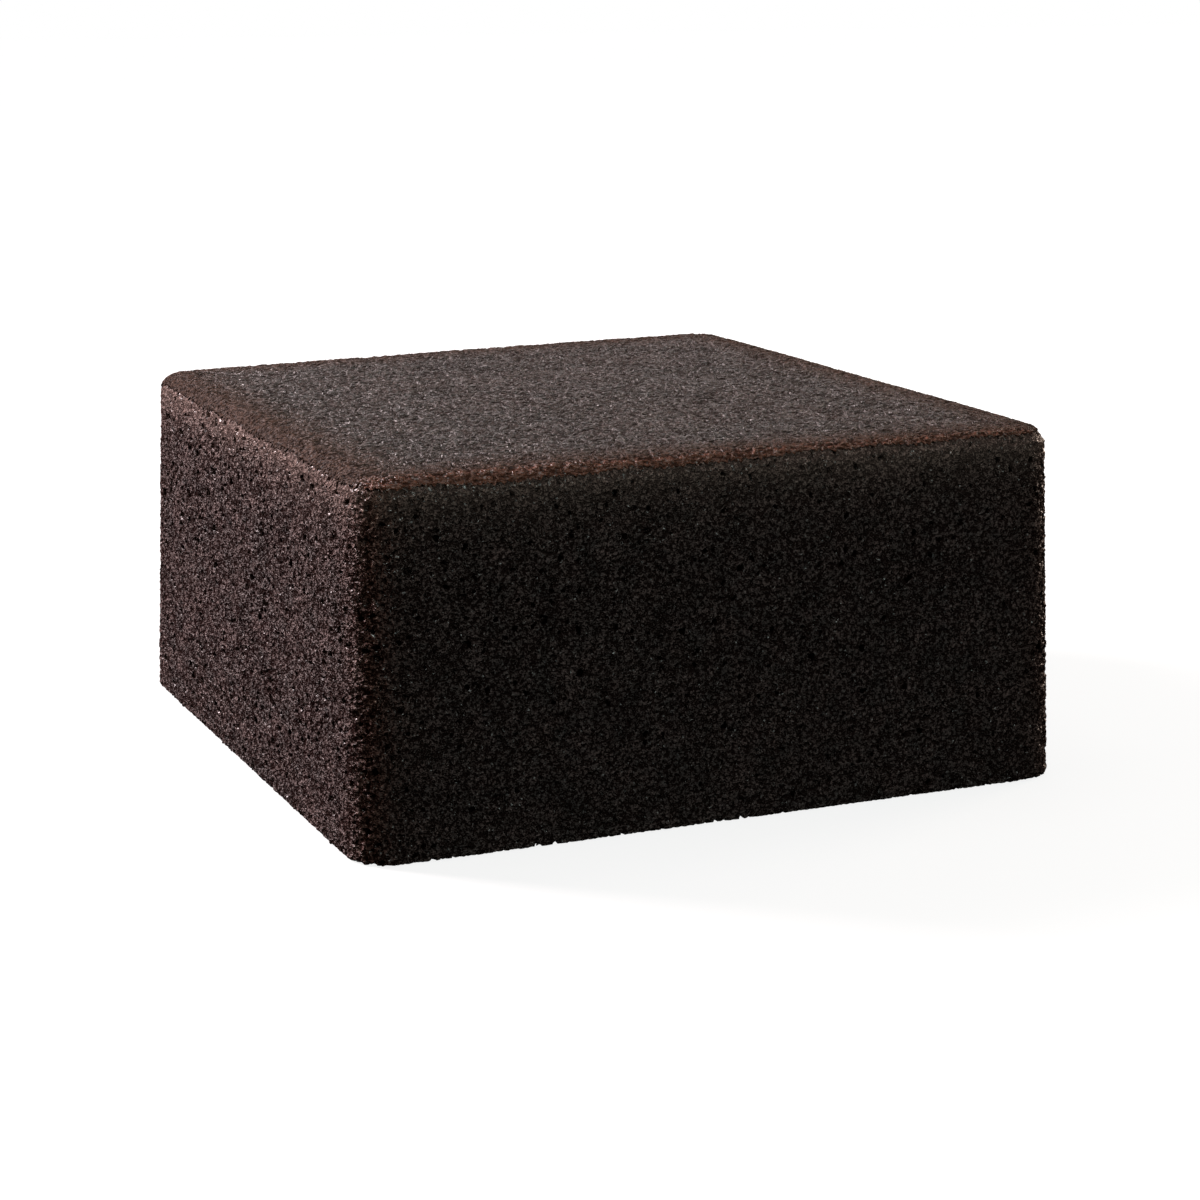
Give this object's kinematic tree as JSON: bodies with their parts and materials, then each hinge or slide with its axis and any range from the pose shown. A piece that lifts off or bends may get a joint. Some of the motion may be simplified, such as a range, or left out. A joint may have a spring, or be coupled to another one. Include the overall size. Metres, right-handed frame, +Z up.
{
  "type": "mud cake",
  "caption": "Uncut square chocolate mud cake: smooth dark skin on top rolls over a rounded edge onto bare, finely pored crumb walls that stand on a sharp lower edge.",
  "frame": {"origin": "middle of the flat base the cake stands on, under the middle of its box", "axes": "+Z up from the base to the skin; the wide dark side of the picture looks along -Y and the lit side beside it along -X"},
  "size_m": [0.201, 0.203, 0.0975],
  "materials": {
    "crumb": "moist, very dark chocolate crumb, matte between pores with small glossy glints",
    "skin": "smooth, finely wrinkled dark brown baked skin with a soft grey sheen, redder at its torn edge"
  },
  "bodies": {
    "root": {"mud_cake": "crumb"}
  },
  "joints": []
}
